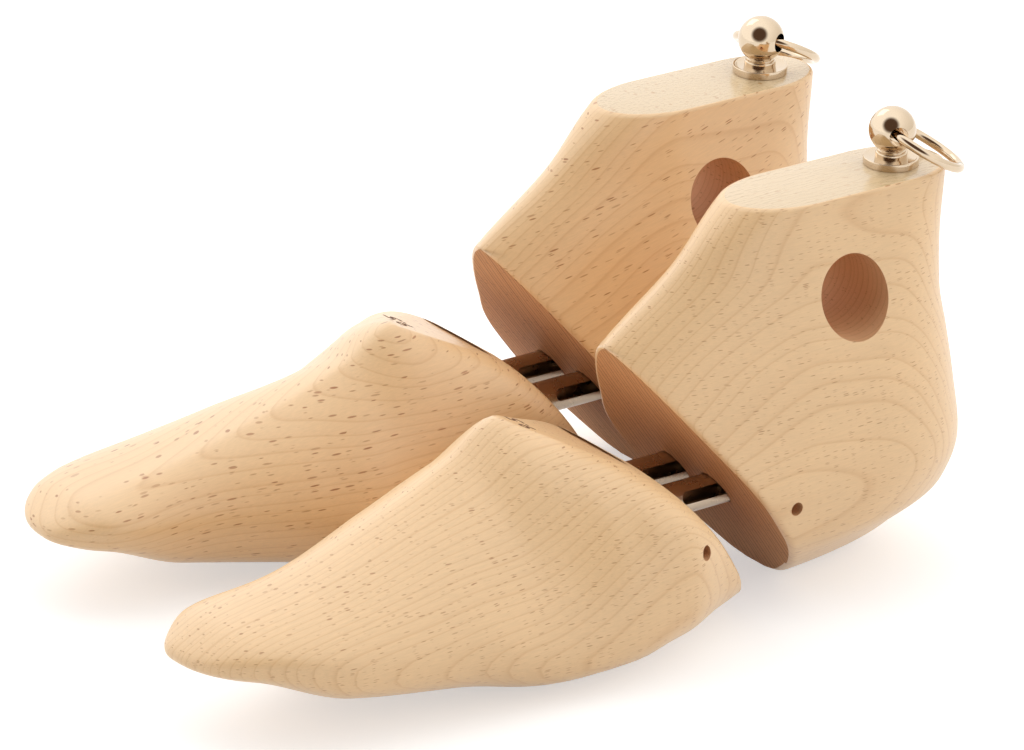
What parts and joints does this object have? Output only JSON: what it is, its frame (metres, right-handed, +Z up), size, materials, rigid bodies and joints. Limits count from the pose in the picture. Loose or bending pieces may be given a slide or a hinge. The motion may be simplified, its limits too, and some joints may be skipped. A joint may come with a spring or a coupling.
{
  "type": "boot_tree_pair",
  "caption": "Pair of sprung beech boot trees: forefoot blocks slide on steel tubes in tall heel blocks with finger holes, turned knobs and pull rings",
  "frame": {"origin": "middle of the pair's outline on the surface it stands on", "axes": "+X from the toes to the heels of the front tree, +Y across from the front tree to the one behind, +Z up"},
  "size_m": [0.2946, 0.1842, 0.135],
  "materials": {
    "beech": "satin clear lacquer over steamed beech",
    "polished_nickel": "polished warm nickel plate",
    "tube_steel": "bright nickel-plated steel",
    "spring_steel": "drawn spring wire",
    "brass": "plain turned brass"
  },
  "bodies": {
    "heel_blocks": {"left_heel_block": "beech", "left_heel_pin": "tube_steel", "left_lateral_spring": "spring_steel", "left_medial_spring": "spring_steel", "left_knob_washer": "polished_nickel", "left_knob_collar": "polished_nickel", "left_knob_stem": "polished_nickel", "left_threaded_insert": "brass", "right_heel_block": "beech", "right_heel_pin": "tube_steel", "right_lateral_spring": "spring_steel", "right_medial_spring": "spring_steel", "right_knob_washer": "polished_nickel", "right_knob_collar": "polished_nickel", "right_knob_stem": "polished_nickel", "right_threaded_insert": "brass"},
    "left_forefoot": {"left_forefoot_block": "beech", "left_lateral_tube": "tube_steel", "left_medial_tube": "tube_steel", "left_forefoot_pin": "tube_steel"},
    "right_forefoot": {"right_forefoot_block": "beech", "right_lateral_tube": "tube_steel", "right_medial_tube": "tube_steel", "right_forefoot_pin": "tube_steel"},
    "left_ring": {"left_pull_ring": "polished_nickel"},
    "right_ring": {"right_pull_ring": "polished_nickel"}
  },
  "joints": [
    {"name": "left_forefoot_slide", "type": "slide", "parent": "heel_blocks", "child": "left_forefoot", "axis": [1, 0, 0], "range_m": [0, 0.022], "stiffness_N_per_m": 1200, "deforming": ["left_lateral_spring", "left_medial_spring"]},
    {"name": "right_forefoot_slide", "type": "slide", "parent": "heel_blocks", "child": "right_forefoot", "axis": [1, 0, 0], "range_m": [0, 0.022], "stiffness_N_per_m": 1200, "deforming": ["right_lateral_spring", "right_medial_spring"]},
    {"name": "left_ring_hinge", "type": "hinge", "parent": "heel_blocks", "child": "left_ring", "pos_m": [0.12577, 0.0408, 0.12799], "axis": [0.3746, -0.9272, 0], "range_deg": [0, 220]},
    {"name": "right_ring_hinge", "type": "hinge", "parent": "heel_blocks", "child": "right_ring", "pos_m": [0.11027, -0.0408, 0.12799], "axis": [-0.3746, -0.9272, 0], "range_deg": [0, 220]}
  ]
}
